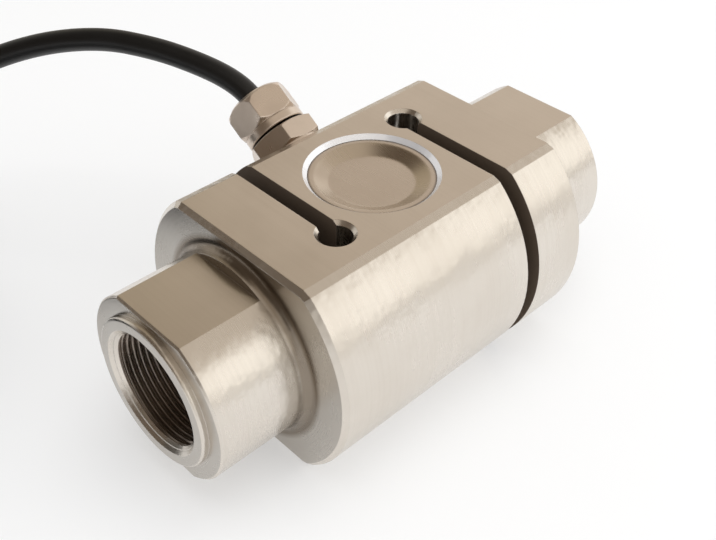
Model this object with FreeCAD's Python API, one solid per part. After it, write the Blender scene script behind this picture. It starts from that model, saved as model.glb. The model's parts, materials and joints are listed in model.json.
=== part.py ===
import FreeCAD
import Part
import math
import os

# S-type load cell: one machined steel body with two opposed slots that leave a thin shear web in the
# middle, a threaded end on each side, welded covers over the two gauge pockets, a cable gland on the
# round back and its signal cable. Millimetres. X is the load axis, Y points to the gland, Z is up.
# The origin is the middle of the lower flat, on which the cell lies.

Vec = FreeCAD.Vector

# ---- body ----
body_length = 84.0
body_diameter = 70.6
body_across_flats = 55.0
body_edge_chamfer = 1.2

# ---- threaded ends ----
boss_diameter = 46.6
boss_across_flats = 41.0
boss_length = 24.4
boss_shoulder = 2.6
boss_edge_chamfer = 0.5
root_fillet = 2.5
collar_diameter = 37.8
collar_length = 1.8
collar_edge = 0.7
thread_diameter = 30.0
thread_length = 28.0
tap_drill_diameter = 28.5
drill_run_out = 3.0
drill_tip_angle = 118.0
mouth_chamfer = 0.9

# ---- slots and their end holes ----
slot_width = 4.4
slot_from_centre = 22.2
relief_hole_diameter = 8.0
relief_hole_chamfer = 0.9
relief_from_centre_x = 22.8
relief_from_centre_y = 11.5

# ---- gauge pockets and covers ----
web_thickness = 5.0
cover_diameter = 31.2
cover_sink = 1.1
cover_sheet = 0.6
cover_rim = 1.5
cover_floor_diameter = 21.0
cover_dish = 1.7
web_wire_hole_diameter = 2.4
web_wire_hole_from_centre = 11.6

# ---- what is bonded in the pockets ----
gauge_length = 9.0
gauge_width = 8.0
gauge_thickness = 0.2
gauge_corner = 1.3
board_thickness = 1.0
board_chord_from_centre = 5.6
board_edge_gap = 0.4
solder_pad_diameter = 2.2
solder_pad_height = 0.4

# ---- cable ----
cable_diameter = 6.2
cable_clearance = 0.3
lead_diameter = 1.1
lead_spacing = 1.4
lead_bend = 2.0
straight_from_gland = 7.0

# ---- cable gland, set radially into the round back ----
gland_angle = 32.5
gland_seat_sink = 1.2
spot_clearance = 0.2
gland_thread_diameter = 12.0
gland_thread_length = 7.0
gland_thread_run_out = 1.0
gland_flange_diameter = 17.0
gland_flange_height = 0.8
gland_hex_across = 17.2
gland_hex_height = 5.4
gland_hex_turn = 7.0
gland_collar_diameter = 14.2
gland_collar_height = 0.7
gland_neck_diameter = 12.4
gland_neck_height = 6.6
o_ring_section = 1.2
nut_length = 11.0
nut_skirt_diameter = 16.6
nut_skirt_height = 2.6
skirt_edge = 0.3
nut_hex_across = 16.2
nut_hex_turn = 48.0
nut_dome_height = 2.6
nut_dome_inset = 2.1
nut_mouth_diameter = 8.6
nut_mouth_lip = 1.2
seal_diameter = 9.4
seal_length = 8.0
seal_depth_in_hexagon = 2.0
claw_wall = 0.7
claw_length = 4.4
claw_slots = 6
claw_slot_width = 0.8
claw_slot_share = 0.6
running_gap = 0.1

# ---- cable coil, its ties and the bare end ----
coil_centre_x = -119.0
coil_centre_y = 98.0
coil_turn_radius = 44.5
coil_layers = 4
coil_layer_turns = 3
coil_turn_pitch = 6.35
coil_start_angle = 85.0
coil_end_angle = 332.5
coil_corner = 2.5
lead_in_run = 16.0
lead_in_angle = 45.0
lead_out_angle = 38.0
tie_thickness = 1.0
tie_width = 14.0
tie_angles = (150.0, 262.0)
end_sleeve_length = 18.0
end_sleeve_wall = 0.4
bare_lead_length = 42.0
bare_lead_spread = 2.6
bare_lead_spacing = 1.3
bare_lead_bend = 20.0

# ---- worked out from the values above ----
load_axis_height = body_across_flats / 2
body_end = body_length / 2
boss_end = body_end + boss_length
collar_end = boss_end + collar_length
pocket_floor = load_axis_height + web_thickness / 2
pocket_diameter = cover_diameter - 2 * cover_rim - cover_sheet
cover_seat = body_across_flats - cover_sink - cover_sheet
cable_radius = cable_diameter / 2
bore_for_cable = cable_diameter + 2 * cable_clearance
gland_out = Vec(0, math.cos(math.radians(gland_angle)), math.sin(math.radians(gland_angle)))
gland_seat = body_diameter / 2 - gland_seat_sink
gland_hex_top = gland_flange_height + gland_hex_height
nut_start = gland_hex_top + gland_collar_height
nut_end = nut_start + nut_length
seal_start = gland_hex_top - seal_depth_in_hexagon
seal_end = seal_start + seal_length

axis_x = Vec(1, 0, 0)
axis_z = Vec(0, 0, 1)
corner = Vec(0, 0, 0)


def cylinder(diameter, length, start, direction):
    return Part.makeCylinder(diameter / 2, length, start, direction)


def cone(start_diameter, end_diameter, length, start, direction):
    return Part.makeCone(start_diameter / 2, end_diameter / 2, length, start, direction)


def block(x, y, z, centre):
    return Part.makeBox(x, y, z, centre - Vec(x / 2, y / 2, z / 2))


def turned(points, centre=corner, direction=axis_z):
    """A solid of revolution from (radius, height) points, with its axis through centre."""
    edges = [Vec(radius, 0, height) for radius, height in points]
    face = Part.Face(Part.makePolygon(edges + edges[:1]))
    solid = face.revolve(corner, axis_z, 360)
    solid.Placement = FreeCAD.Placement(centre, FreeCAD.Rotation(axis_z, direction))
    return solid


def hexagon(across_flats, base, height, turn):
    """A hexagonal prism along Z, with its first corner turned so many degrees from X."""
    radius = across_flats / math.sqrt(3)
    angles = [math.radians(turn + 60 * i) for i in range(6)]
    points = [Vec(radius * math.cos(angle), radius * math.sin(angle), base) for angle in angles]
    return Part.Face(Part.makePolygon(points + points[:1])).extrude(Vec(0, 0, height))


def on_gland_axis(solid):
    """Moves a solid made along Z so that Z = 0 lies on the gland's seat and Z runs outwards."""
    turn = FreeCAD.Rotation(axis_x, gland_angle - 90)
    solid.Placement = FreeCAD.Placement(gland_point(0), turn)
    return solid


def gland_point(height):
    """The point of the gland's axis that lies so far out from its seat."""
    return Vec(0, 0, load_axis_height) + gland_out * (gland_seat + height)


def flatted_bar(x_start, length, diameter, across_flats):
    """A round bar along the load axis with a flat above and below."""
    bar = cylinder(diameter, length, Vec(x_start, 0, load_axis_height), axis_x)
    centre = Vec(x_start + length / 2, 0, load_axis_height)
    return bar.common(block(length, 2 * diameter, across_flats, centre))


def edges_at(shape, test):
    """The edges whose every vertex passes the test."""
    return [edge for edge in shape.Edges if all(test(vertex.Point) for vertex in edge.Vertexes)]


def round_edges(shape):
    """The edges that are whole circles or arcs of one."""
    return [edge for edge in shape.Edges if edge.Curve.TypeId == "Part::GeomCircle"]


def threaded_end():
    """The end on the +X side: shoulder, wrench flats and turned collar, without its bore."""
    shoulder = cylinder(boss_diameter, boss_shoulder, Vec(body_end, 0, load_axis_height), axis_x)
    flats = flatted_bar(body_end, boss_length, boss_diameter, boss_across_flats)
    flats = flats.makeChamfer(boss_edge_chamfer, edges_at(flats, lambda p: p.x > boss_end - 0.01))
    collar = cylinder(collar_diameter, collar_length, Vec(boss_end, 0, load_axis_height), axis_x)
    collar = collar.makeFillet(collar_edge, edges_at(collar, lambda p: p.x > collar_end - 0.01))
    inner = boss_diameter / 2 - boss_edge_chamfer
    outer = boss_diameter / 2 + root_fillet
    section = [(inner, 0), (outer, 0), (outer, root_fillet), (inner, root_fillet)]
    root_ring = turned(section, Vec(body_end, 0, load_axis_height), axis_x)
    scoop_centre = Vec(body_end + root_fillet, 0, load_axis_height)
    scoop = Part.makeTorus(outer, root_fillet, scoop_centre, axis_x)
    return shoulder.fuse([flats, collar, root_ring.cut(scoop)])


def end_bore():
    """The threaded bore of the +X end: mouth chamfer, thread at its full diameter and drill point."""
    mouth = Vec(collar_end, 0, load_axis_height)
    inwards = Vec(-1, 0, 0)
    mouth_diameter = thread_diameter + 2 * mouth_chamfer
    chamfer = cone(mouth_diameter, thread_diameter, mouth_chamfer, mouth, inwards)
    thread = cylinder(thread_diameter, thread_length, mouth, inwards)
    drill_depth = thread_length + drill_run_out
    drill = cylinder(tap_drill_diameter, drill_depth, mouth, inwards)
    tip_height = tap_drill_diameter / 2 / math.tan(math.radians(drill_tip_angle / 2))
    tip = cone(tap_drill_diameter, 0, tip_height, mouth + inwards * drill_depth, inwards)
    return chamfer.fuse([thread, drill, tip])


def half_turn(shape):
    """A copy turned by 180 degrees about the vertical axis."""
    other = shape.copy()
    other.rotate(corner, axis_z, 180)
    return other


def slot_cut():
    """The slot on the +X side: it enters from -Y and ends in a chamfered round hole towards +Y."""
    depth = body_diameter / 2 + relief_from_centre_y
    slot_centre = Vec(slot_from_centre, relief_from_centre_y - depth / 2, load_axis_height)
    slot = block(slot_width, depth, 2 * body_across_flats, slot_centre)
    centre = Vec(relief_from_centre_x, relief_from_centre_y, 0)
    hole = cylinder(relief_hole_diameter, body_across_flats, centre, axis_z)
    wide = relief_hole_diameter + 2 * relief_hole_chamfer
    top_start = centre + Vec(0, 0, body_across_flats - relief_hole_chamfer)
    top = cone(relief_hole_diameter, wide, relief_hole_chamfer, top_start, axis_z)
    bottom = cone(wide, relief_hole_diameter, relief_hole_chamfer, centre, axis_z)
    return slot.fuse([hole, top, bottom])


def pocket_cut():
    """The upper gauge pocket: sunk mouth with a 45 degree edge, seat for the cover and bored pocket."""
    top = body_across_flats
    radius = cover_diameter / 2
    return turned(
        [
            (0, pocket_floor),
            (pocket_diameter / 2, pocket_floor),
            (pocket_diameter / 2, cover_seat),
            (radius, cover_seat),
            (radius, top - cover_sink),
            (radius + cover_sink, top),
            (0, top),
        ]
    )


def mirrored_below(shape):
    """A copy mirrored in the level plane through the load axis."""
    return shape.mirror(Vec(0, 0, load_axis_height), axis_z)


def gland_cut():
    """The spot face, the gland's thread and the duct that leads the cable into the upper pocket."""
    corners = gland_hex_across * 2 / math.sqrt(3)
    spot = cylinder(corners + 2 * spot_clearance, 4 * gland_seat_sink, corner, axis_z)
    thread_depth = gland_thread_length + gland_thread_run_out
    thread = cylinder(gland_thread_diameter, thread_depth, Vec(0, 0, -thread_depth), axis_z)
    duct_length = gland_seat - pocket_diameter / 4
    duct = cylinder(bore_for_cable, duct_length, Vec(0, 0, -duct_length), axis_z)
    return on_gland_axis(spot.fuse([thread, duct]))


def make_body():
    bar = flatted_bar(-body_end, body_length, body_diameter, body_across_flats)
    bar = bar.makeChamfer(body_edge_chamfer, edges_at(bar, lambda p: abs(p.x) > body_end - 0.01))
    body = bar.fuse([threaded_end(), half_turn(threaded_end())])
    pocket = pocket_cut()
    wire_hole_start = Vec(web_wire_hole_from_centre, 0, load_axis_height - web_thickness)
    wire_hole = cylinder(web_wire_hole_diameter, 2 * web_thickness, wire_hole_start, axis_z)
    cuts = [end_bore(), half_turn(end_bore()), slot_cut(), half_turn(slot_cut())]
    cuts += [pocket, mirrored_below(pocket), wire_hole, gland_cut()]
    return body.cut(cuts).removeSplitter()


def make_cover():
    """The upper cover: a pressed steel dish welded in flush with the foot of its sunk edge."""
    top = body_across_flats - cover_sink
    outer = cover_diameter / 2
    rim = outer - cover_rim
    floor = cover_floor_diameter / 2
    points = [
        (0, top - cover_dish),
        (floor, top - cover_dish),
        (rim, top),
        (outer, top),
        (outer, top - cover_sheet),
        (rim - cover_sheet / 2, top - cover_sheet),
        (floor - cover_sheet / 3, top - cover_dish - cover_sheet),
        (0, top - cover_dish - cover_sheet),
    ]
    return turned(points)


def make_gauge():
    """The foil shear gauge bonded to the upper face of the web, with clipped corners."""
    centre = Vec(0, 0, pocket_floor + gauge_thickness / 2)
    gauge = block(gauge_length, gauge_width, gauge_thickness, centre)
    upright = [edge for edge in gauge.Edges if edge.BoundBox.ZLength > gauge_thickness / 2]
    return gauge.makeChamfer(gauge_corner, upright)


def lead_positions():
    """The X place of each of the four conductors, side by side in the duct."""
    return [lead_spacing * (i - 1.5) for i in range(4)]


def board_row():
    """How far the row of solder pads lies from the middle of the pocket."""
    return board_chord_from_centre + solder_pad_diameter


def make_board():
    """A segment-shaped solder board on the web, with one pad for each conductor."""
    disc_diameter = pocket_diameter - 2 * board_edge_gap
    disc = cylinder(disc_diameter, board_thickness, Vec(0, 0, pocket_floor), axis_z)
    half = Part.makeBox(pocket_diameter, pocket_diameter, pocket_diameter)
    half.translate(Vec(-pocket_diameter / 2, board_chord_from_centre, load_axis_height))
    board = disc.common(half)
    top = pocket_floor + board_thickness
    pads = []
    for x in lead_positions():
        pads.append(cylinder(solder_pad_diameter / 2, solder_pad_height, Vec(x, board_row(), top), axis_z))
    return board.fuse(pads)


def rounded_path(points, share=0.45, most=None):
    """Straight runs joined by tangent arcs, and the smallest arc radius on the way."""
    edges = []
    radii = []
    start = points[0]
    for before, here, after in zip(points, points[1:], points[2:]):
        back = (before - here).normalize()
        on = (after - here).normalize()
        half = math.pi / 2 - back.getAngle(on) / 2
        shorter = min((before - here).Length, (after - here).Length)
        radius = share * shorter / math.tan(half)
        if most:
            radius = min(radius, most)
        reach = radius * math.tan(half)
        first = here + back * reach
        last = here + on * reach
        inward = (back + on).normalize()
        middle = here + inward * (radius / math.cos(half) - radius)
        edges.append(Part.LineSegment(start, first).toShape())
        edges.append(Part.Arc(first, middle, last).toShape())
        radii.append(radius)
        start = last
    edges.append(Part.LineSegment(start, points[-1]).toShape())
    return Part.Wire(edges), radii


def tube(points, diameter, share=0.45, most=None):
    """A round solid swept along the rounded path, with the path's length and radii."""
    path, radii = rounded_path(points, share, most)
    along = (points[1] - points[0]).normalize()
    ring = Part.Wire(Part.makeCircle(diameter / 2, points[0], along))
    return path.makePipeShell([ring], True, True), path.Length, radii


def make_inner_leads():
    """Four conductors from the end of the cable's jacket down to the pads of the upper board."""
    jacket_end = gland_point(-jacket_depth())
    bend_height = jacket_end.z - (jacket_end.y - board_row()) * math.tan(math.radians(gland_angle))
    foot = pocket_floor + board_thickness + solder_pad_height
    leads = []
    for x in lead_positions():
        start = Vec(x, jacket_end.y, jacket_end.z)
        bend = Vec(x, board_row(), bend_height)
        leads.append(tube([start, bend, Vec(x, board_row(), foot)], lead_diameter, most=lead_bend)[0])
    return leads


def jacket_depth():
    """How deep below the gland's seat the jacket of the cable ends, just inside the duct."""
    return gland_seat - pocket_diameter / 2 - 2 * cable_radius


def make_cable_in_gland():
    depth = jacket_depth()
    return on_gland_axis(cylinder(cable_diameter, depth + seal_end, Vec(0, 0, -depth), axis_z))


def make_gland_body():
    """The nickel-plated body: thread, flange, hexagon, collar and the neck that the nut screws on."""
    thread = cylinder(gland_thread_diameter, gland_thread_length, Vec(0, 0, -gland_thread_length), axis_z)
    flange = cylinder(gland_flange_diameter, gland_flange_height, corner, axis_z)
    spanner = hexagon(gland_hex_across, gland_flange_height, gland_hex_height, gland_hex_turn)
    spanner = spanner.common(without_corners(gland_hex_across, gland_flange_height, gland_hex_height))
    ledge = cylinder(gland_collar_diameter, gland_collar_height, Vec(0, 0, gland_hex_top), axis_z)
    neck = cylinder(gland_neck_diameter, gland_neck_height, Vec(0, 0, gland_hex_top), axis_z)
    outside = thread.fuse([flange, spanner, ledge, neck])
    foot = Vec(0, 0, -gland_thread_length)
    bore = cylinder(bore_for_cable, gland_thread_length + seal_start, foot, axis_z)
    chamber = cylinder(seal_diameter, neck_top() - seal_start, Vec(0, 0, seal_start), axis_z)
    return on_gland_axis(outside.cut([bore, chamber, turned(o_ring_profile())]))


def without_corners(across_flats, base, height):
    """A turned solid that takes the sharp corners off both ends of a hexagon."""
    corner_radius = across_flats / math.sqrt(3)
    flat_radius = across_flats / 2
    drop = (corner_radius - flat_radius) / 2
    return turned(
        [
            (0, base),
            (flat_radius, base),
            (corner_radius, base + drop),
            (corner_radius, base + height - drop),
            (flat_radius, base + height),
            (0, base + height),
        ]
    )


def o_ring_profile():
    """The half-height section of the sealing ring when it is squeezed into its groove."""
    inner = gland_thread_diameter / 2
    outer = inner + o_ring_section
    return [(inner, 0), (outer, 0), (outer, o_ring_section / 2), (inner, o_ring_section / 2)]


def make_o_ring():
    """A square-cut sealing ring in the groove under the flange."""
    return on_gland_axis(turned(o_ring_profile()))


def make_seal():
    """The rubber sleeve round the cable, narrowed where the claw presses on it."""
    inner = cable_radius
    outer = seal_diameter / 2 - running_gap
    narrow = outer - claw_wall
    step = claw_start()
    foot = [(inner, seal_start), (outer, seal_start), (outer, step), (narrow, step)]
    return on_gland_axis(turned(foot + [(narrow, seal_end), (inner, seal_end)]))


def neck_top():
    return gland_hex_top + gland_neck_height


def claw_start():
    """The foot of the claw, half of which stands inside the neck."""
    return neck_top() - claw_length / 2


def make_claw():
    """The slotted nylon ring that the nut presses inwards on the seal."""
    outer = seal_diameter / 2 - running_gap
    inner = outer - claw_wall
    base = claw_start()
    ring = turned([(inner, base), (outer, base), (outer, base + claw_length), (inner, base + claw_length)])
    slot_depth = claw_length * claw_slot_share
    slot_foot = Vec(0, -claw_slot_width / 2, base + claw_length - slot_depth)
    cuts = []
    for i in range(claw_slots):
        cut = Part.makeBox(seal_diameter, claw_slot_width, slot_depth, slot_foot)
        cut.rotate(corner, axis_z, 360 / claw_slots * i)
        cuts.append(cut)
    return on_gland_axis(ring.cut(cuts))


def make_cap_nut():
    """The cap nut: round skirt, hexagon, domed outer end and a rounded mouth for the cable."""
    corner_radius = nut_hex_across / math.sqrt(3)
    hex_start = nut_start + nut_skirt_height
    dome_start = nut_end - nut_dome_height
    dome = turned(
        [
            (0, hex_start),
            (nut_skirt_diameter / 2, hex_start),
            (corner_radius, hex_start + (corner_radius - nut_skirt_diameter / 2)),
            (corner_radius, dome_start),
            (corner_radius - nut_dome_inset / 3, dome_start + nut_dome_height * 0.6),
            (corner_radius - nut_dome_inset, nut_end),
            (0, nut_end),
        ]
    )
    prism = hexagon(nut_hex_across, hex_start, nut_end - hex_start, nut_hex_turn)
    skirt = cylinder(nut_skirt_diameter, nut_skirt_height, Vec(0, 0, nut_start), axis_z)
    skirt = skirt.makeChamfer(skirt_edge, round_edges(skirt))
    outside = skirt.fuse(prism.common(dome))
    foot = Vec(0, 0, nut_start)
    thread_depth = neck_top() + running_gap - nut_start
    thread = cylinder(gland_neck_diameter + 2 * running_gap, thread_depth, foot, axis_z)
    claw_seat = cylinder(seal_diameter, claw_start() + claw_length - nut_start, foot, axis_z)
    mouth = cylinder(nut_mouth_diameter, nut_length, foot, axis_z)
    lip_height = nut_mouth_lip / 2
    lip_start = Vec(0, 0, nut_end - lip_height)
    lip = cone(nut_mouth_diameter, nut_mouth_diameter + nut_mouth_lip, lip_height, lip_start, axis_z)
    return on_gland_axis(outside.cut([thread, claw_seat, mouth, lip]))


def on_coil(angle, radius, z):
    """A point at an angle and radius about the middle of the coil."""
    turn = math.radians(angle)
    return Vec(coil_centre_x + radius * math.cos(turn), coil_centre_y + radius * math.sin(turn), z)


def coil_heading(angle):
    """The way the cable runs round the coil at an angle, anticlockwise from above."""
    turn = math.radians(angle)
    return Vec(-math.sin(turn), math.cos(turn), 0)


def layer_height(layer):
    """The height of the cable's centre line in a layer of the coil, counted from 0 at the bottom."""
    return tie_thickness + cable_diameter * (layer + 0.5)


def cable_route():
    """The cable's centre line from the gland's seal to the coil."""
    start = gland_point(seal_end)
    arrive = on_coil(coil_start_angle, coil_turn_radius, layer_height(coil_layers - 1))
    chosen = [
        (-1.4, 52.1, 59.0),
        (-4.7, 61.3, 61.0),
        (-9.8, 72.9, 62.7),
        (-17.6, 87.9, 62.9),
        (-29.3, 104.8, 58.4),
        (-44.5, 119.5, 50.0),
        (-61.0, 130.0, 39.0),
        (-79.5, 138.0, 29.0),
    ]
    route = [start, start + gland_out * straight_from_gland]
    route += [Vec(x, y, z) for x, y, z in chosen]
    route += [arrive - coil_heading(coil_start_angle) * lead_in_run, arrive]
    return route


def coil_sector(inner, outer, low, high, angle, sweep):
    """A stretch of ring about the middle of the coil, from an angle on."""
    points = [Vec(inner, 0, low), Vec(outer, 0, low), Vec(outer, 0, high), Vec(inner, 0, high)]
    sector = Part.Face(Part.makePolygon(points + points[:1])).revolve(corner, axis_z, sweep)
    sector.rotate(corner, axis_z, angle)
    sector.translate(Vec(coil_centre_x, coil_centre_y, 0))
    return sector


def coil_size():
    """The inner and outer radius of the wound cable, and its top."""
    outer = coil_turn_radius + cable_radius
    inner = coil_turn_radius - coil_layer_turns * coil_turn_pitch - cable_radius
    return inner, outer, tie_thickness + coil_layers * cable_diameter


def make_coil():
    """The outer shape of the wound cable, stepped back where it arrives and where its end leaves."""
    inner, outer, top = coil_size()
    step = outer - cable_diameter - 2 * cable_clearance
    beyond = outer + cable_diameter
    above = top + cable_diameter
    low = top - cable_diameter - cable_clearance
    high = tie_thickness + cable_diameter + 2 * cable_clearance
    arrival = coil_sector(step, beyond, low, above, coil_start_angle - lead_in_angle, lead_in_angle)
    departure = coil_sector(step, beyond, 0, high, coil_end_angle, lead_out_angle)
    return make_coil_ring().cut([arrival, departure])


def make_tie(angle):
    """A strap wrapped once round the bundle of turns, flush with the floor below."""
    inner, outer, top = coil_size()
    middle = (inner + outer) / 2
    wide = outer - inner
    centre = on_coil(angle, middle, (top + tie_thickness) / 2)
    tall = top - tie_thickness
    loop = block(wide + 2 * tie_thickness, tie_width, tall + 2 * tie_thickness, corner)
    along = [edge for edge in loop.Edges if edge.BoundBox.YLength > tie_width / 2]
    loop = loop.makeFillet(coil_corner + tie_thickness, along)
    loop.rotate(corner, axis_z, angle)
    loop.translate(centre)
    return loop.cut(make_coil_ring())


def make_coil_ring():
    """The whole ring of the coil with rounded edges, which the ties wrap."""
    inner, outer, top = coil_size()
    ring = coil_sector(inner, outer, tie_thickness, top, 0, 360)
    return ring.makeFillet(coil_corner, round_edges(ring))


def cable_end():
    """Where the jacket ends at the coil, and the way its end points."""
    return on_coil(coil_end_angle, coil_turn_radius, layer_height(0)), coil_heading(coil_end_angle)


def make_end_sleeve():
    """The shrunk sleeve over the end of the jacket and the roots of the conductors."""
    end, heading = cable_end()
    return cylinder(cable_diameter + 2 * end_sleeve_wall, end_sleeve_length, end, heading)


def make_bare_leads():
    """The four conductors and the shield's drain wire, fanned out on the floor past the sleeve."""
    end, heading = cable_end()
    side = Vec(heading.y, -heading.x, 0)
    root = end + heading * end_sleeve_length
    leads = []
    for i in range(5):
        across = bare_lead_spacing * (i - 2)
        start = root + side * across
        spread = side * (bare_lead_spread * (i - 2))
        low = Vec(0, 0, lead_diameter / 2 - start.z)
        bend = start + heading * (bare_lead_length / 4)
        land = start + heading * (bare_lead_length * 3 / 5) + spread + low
        tip = land + heading * (bare_lead_length * 2 / 5) + spread / 2
        leads.append(tube([start, bend, land, tip], lead_diameter, most=bare_lead_bend)[0])
    return leads


def save(node, shape):
    shape.exportStep(os.path.join("parts", node + ".step"))
    print(node, "solids", len(shape.Solids), "volume", round(shape.Volume, 1), "valid", shape.isValid())


os.makedirs("parts", exist_ok=True)

save("load_cell_body", make_body())
save("top_cover", make_cover())
save("bottom_cover", mirrored_below(make_cover()))
save("upper_shear_gauge", make_gauge())
save("lower_shear_gauge", mirrored_below(make_gauge()))
save("terminal_board", make_board())
save("trim_board", mirrored_below(make_board()))

lead_names = ("red", "black", "green", "white")
for colour, lead in zip(lead_names, make_inner_leads()):
    save("inner_lead_" + colour, lead)

save("gland_body", make_gland_body())
save("gland_o_ring", make_o_ring())
save("gland_seal", make_seal())
save("gland_claw", make_claw())
save("gland_cap_nut", make_cap_nut())

save("cable_in_gland", make_cable_in_gland())
cable_run, run_length, run_radii = tube(cable_route(), cable_diameter)
print("cable run length", round(run_length, 1), "bend radii", [round(radius, 1) for radius in run_radii])
print("volume over section times length", round(cable_run.Volume / (math.pi * cable_radius**2 * run_length), 4))
save("cable_run", cable_run)
save("cable_coil", make_coil())
for number, angle in enumerate(tie_angles, 1):
    save("coil_tie_" + str(number), make_tie(angle))

save("cable_end_sleeve", make_end_sleeve())
for colour, lead in zip(lead_names + ("drain",), make_bare_leads()):
    save("end_lead_" + colour, lead)
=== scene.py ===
import json
import math
import bpy
from mathutils import Matrix, Vector


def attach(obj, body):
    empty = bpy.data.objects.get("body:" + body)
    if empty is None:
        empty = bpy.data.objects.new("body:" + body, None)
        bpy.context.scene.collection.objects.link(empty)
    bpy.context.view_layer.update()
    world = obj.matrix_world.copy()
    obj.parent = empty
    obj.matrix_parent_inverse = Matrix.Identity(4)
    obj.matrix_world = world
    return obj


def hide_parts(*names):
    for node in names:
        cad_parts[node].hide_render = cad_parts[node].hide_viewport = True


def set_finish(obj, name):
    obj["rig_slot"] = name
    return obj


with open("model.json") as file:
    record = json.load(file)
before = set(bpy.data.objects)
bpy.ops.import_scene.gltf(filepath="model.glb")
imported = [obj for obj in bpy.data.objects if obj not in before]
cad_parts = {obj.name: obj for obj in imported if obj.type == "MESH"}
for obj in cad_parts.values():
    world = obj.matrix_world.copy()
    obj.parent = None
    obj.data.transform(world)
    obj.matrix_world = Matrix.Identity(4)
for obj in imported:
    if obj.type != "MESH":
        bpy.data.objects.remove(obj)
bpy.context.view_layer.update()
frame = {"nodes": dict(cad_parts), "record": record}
nodes = frame["nodes"]
print("frame loaded:", len(nodes), "nodes")


# camera
viewpoint = {
    "place": (-0.14412, -0.13909, 0.19299),
    "azimuth": -44.222,
    "elevation": 39.922,
    "roll": 0.808,
    "lens": 50.92,
    "shiftX": 0.0188,
    "shiftY": -0.0062,
    "sensor": 36,
    "nearest": 0.01,
    "farthest": 20,
}


def addCamera():
    az, el, roll = (math.radians(viewpoint[key]) for key in ("azimuth", "elevation", "roll"))
    back = Vector((math.sin(az) * math.cos(el), -math.cos(az) * math.cos(el), math.sin(el)))
    level = Vector((math.cos(az), math.sin(az), 0))
    above = back.cross(level)
    right = level * math.cos(roll) + above * math.sin(roll)
    up = above * math.cos(roll) - level * math.sin(roll)
    bpy.ops.object.camera_add(location=viewpoint["place"])
    camera = bpy.context.object
    camera.rotation_euler = Matrix((right, up, back)).transposed().to_euler()
    camera.data.sensor_width = viewpoint["sensor"]
    camera.data.lens = viewpoint["lens"]
    camera.data.shift_x = viewpoint["shiftX"]
    camera.data.shift_y = viewpoint["shiftY"]
    camera.data.clip_start = viewpoint["nearest"]
    camera.data.clip_end = viewpoint["farthest"]
    bpy.context.scene.camera = camera


addCamera()
print("camera placed")


# helpers for modelling
def deselectAll():
    for thing in bpy.context.selected_objects:
        thing.select_set(False)


def takeHold(piece):
    deselectAll()
    piece.select_set(True)
    bpy.context.view_layer.objects.active = piece


def addShape(kind, name, **values):
    deselectAll()
    getattr(bpy.ops.mesh, "primitive_" + kind + "_add")(**values)
    piece = bpy.context.object
    piece.name = name
    piece.data.name = name
    return piece


def copyShape(piece, name):  # a second piece of the same shape, with a mesh of its own
    twin = piece.copy()
    twin.data = piece.data.copy()
    twin.name = name
    twin.data.name = name
    bpy.context.collection.objects.link(twin)
    return twin


def selectWhere(piece, test, parts="faces"):  # marks what passes the test, for the next edit
    bpy.ops.object.mode_set(mode="EDIT")
    bpy.ops.mesh.select_mode(type="FACE" if parts == "faces" else "EDGE")
    bpy.ops.mesh.select_all(action="DESELECT")
    bpy.ops.object.mode_set(mode="OBJECT")
    mesh = piece.data
    if parts == "faces":
        for face in mesh.polygons:
            face.select = test(face.center, face.normal)
    else:
        for edge in mesh.edges:
            edge.select = test(*[mesh.vertices[i].co for i in edge.vertices])
    bpy.ops.object.mode_set(mode="EDIT")


def applyModifier(piece, kind, name, **values):
    takeHold(piece)
    change = piece.modifiers.new(name, kind)
    for key, value in values.items():
        setattr(change, key, value)
    bpy.ops.object.modifier_apply(modifier=change.name)


def addTurned(name, stations, sides=48):  # rings of (height, radius) joined up along Z
    height, radius = stations[0]
    place = (0, 0, height)
    piece = addShape("circle", name, vertices=sides, radius=radius, fill_type="NGON", location=place)
    bpy.ops.object.transform_apply(location=True, rotation=False, scale=False)
    bpy.ops.object.mode_set(mode="EDIT")
    bpy.ops.mesh.select_all(action="SELECT")
    for nextHeight, nextRadius in stations[1:]:
        rise = (0, 0, nextHeight - height)
        bpy.ops.mesh.extrude_region_move(TRANSFORM_OT_translate={"value": rise})
        bpy.ops.transform.resize(value=(nextRadius / radius, nextRadius / radius, 1))
        height, radius = nextHeight, nextRadius
    bpy.ops.mesh.select_all(action="SELECT")
    bpy.ops.mesh.normals_make_consistent(inside=False)
    bpy.ops.object.mode_set(mode="OBJECT")
    return piece


def pointAlong(piece, place, heading):  # stands a shape made along Z at a place, facing a heading
    piece.location = place
    piece.rotation_euler = Vector(heading).to_track_quat("Z", "Y").to_euler()


def settle(piece, slotName, smoothAngle):  # puts the place into the mesh and names the finish
    takeHold(piece)
    bpy.ops.object.transform_apply(location=True, rotation=True, scale=True)
    bpy.ops.object.shade_smooth_by_angle(angle=math.radians(smoothAngle))
    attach(piece, "root")
    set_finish(piece, slotName)


# cable
cable = {
    "diameter": 0.0062,
    "length": 3.0,
    "coilCentre": (-0.119, 0.098),
    "turnRadius": 0.0445,
    "turnPitch": 0.00635,
    "turnsPerLayer": 3,
    "layers": 4,
    "tieThickness": 0.001,
    "startAngle": 85,
    "pointsPerTurn": 16,
    "leadInRun": 0.016,
    "intoSleeve": 0.009,
}
cableRoute = [
    (0.0, 0.03905, 0.05238),
    (0.0, 0.04495, 0.05614),
    (-0.0014, 0.0521, 0.0590),
    (-0.0047, 0.0613, 0.0610),
    (-0.0098, 0.0729, 0.0627),
    (-0.0176, 0.0879, 0.0629),
    (-0.0293, 0.1048, 0.0584),
    (-0.0445, 0.1195, 0.0500),
    (-0.0610, 0.1300, 0.0390),
    (-0.0795, 0.1380, 0.0290),
]


def onCoil(angle, radius, height):
    turn = math.radians(angle)
    x, y = cable["coilCentre"]
    return Vector((x + radius * math.cos(turn), y + radius * math.sin(turn), height))


def coilHeading(angle):
    turn = math.radians(angle)
    return Vector((-math.sin(turn), math.cos(turn), 0))


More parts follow.
